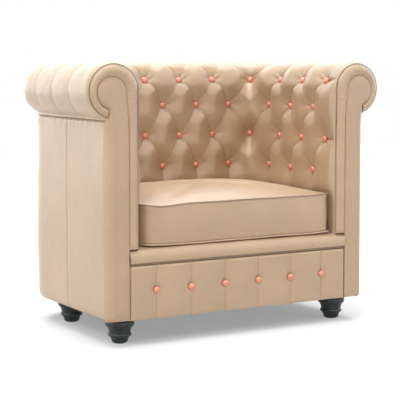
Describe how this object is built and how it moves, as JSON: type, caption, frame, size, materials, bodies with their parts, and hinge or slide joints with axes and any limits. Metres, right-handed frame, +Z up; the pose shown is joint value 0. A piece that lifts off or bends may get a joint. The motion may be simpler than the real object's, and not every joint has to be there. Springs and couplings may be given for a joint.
{
  "type": "upholstered armchair",
  "caption": "Low upholstered tub armchair with rolled arms and back at one height, buttoned inside walls, a loose seat cushion and turned black feet.",
  "frame": {"origin": "centre of the bounding box in plan, on the floor under the feet", "axes": "+X to the right seen from the front, +Y from the front to the back, +Z up"},
  "size_m": [0.894, 0.58, 0.72],
  "materials": {
    "leather": "satin, fine grain",
    "dark_trim": "satin",
    "button_leather": "gloss",
    "black_wood": "black lacquer, semi-gloss",
    "timber": "bare sawn",
    "steel": "satin",
    "zip_metal": "satin",
    "glide_plastic": "matte",
    "black_lining": "matte",
    "plain_cloth": "matte"
  },
  "bodies": {
    "chair": {"apron": "leather", "arm_board_left": "timber", "arm_board_right": "timber", "arm_front_board_left": "timber", "arm_front_board_right": "timber", "arm_posts": "timber", "back_board": "timber", "back_posts": "timber", "back_rail": "timber", "buttons_apron": "button_leather", "buttons_arm_left": "button_leather", "buttons_arm_right": "button_leather", "buttons_back": "button_leather", "corner_post_left": "timber", "corner_post_right": "timber", "deck_pad": "plain_cloth", "dust_cover": "black_lining", "facing_band_left": "leather", "facing_band_right": "leather", "facing_panel_left": "leather", "facing_panel_right": "leather", "facing_piping_left": "dark_trim", "facing_piping_right": "dark_trim", "foot_blocks": "timber", "foot_bolts": "steel", "foot_front_left": "black_wood", "foot_front_right": "black_wood", "foot_glides": "glide_plastic", "foot_nuts": "steel", "foot_rear_left": "black_wood", "foot_rear_right": "black_wood", "front_rail": "timber", "outside_panel_arm_left": "leather", "outside_panel_arm_right": "leather", "outside_panel_back": "leather", "rail_lip": "leather", "rail_piping": "dark_trim", "roll_arm_left": "leather", "roll_arm_right": "leather", "roll_back": "leather", "roll_corner_left": "leather", "roll_corner_right": "leather", "seat_springs": "steel", "side_rail_left": "timber", "side_rail_right": "timber", "spring_clips": "steel", "spring_cover": "black_lining", "tufted_pad_arm_left": "leather", "tufted_pad_arm_right": "leather", "tufted_pad_back": "leather", "tufting_board_arm_left": "timber", "tufting_board_arm_right": "timber", "tufting_board_back": "timber", "tufting_twine": "plain_cloth"},
    "seat_cushion": {"cushion_cover": "leather", "cushion_core": "plain_cloth", "cushion_piping": "dark_trim", "zip_tape": "dark_trim"},
    "zip_runner": {"zip_slider": "zip_metal", "zip_pull": "zip_metal"}
  },
  "joints": [
    {"name": "cushion_lift", "type": "slide", "parent": "chair", "child": "seat_cushion", "axis": [0, 0, 1], "range_m": [0, 0.48]},
    {"name": "zip_slide", "type": "slide", "parent": "seat_cushion", "child": "zip_runner", "axis": [1, 0, 0], "range_m": [-0.46, 0]}
  ]
}
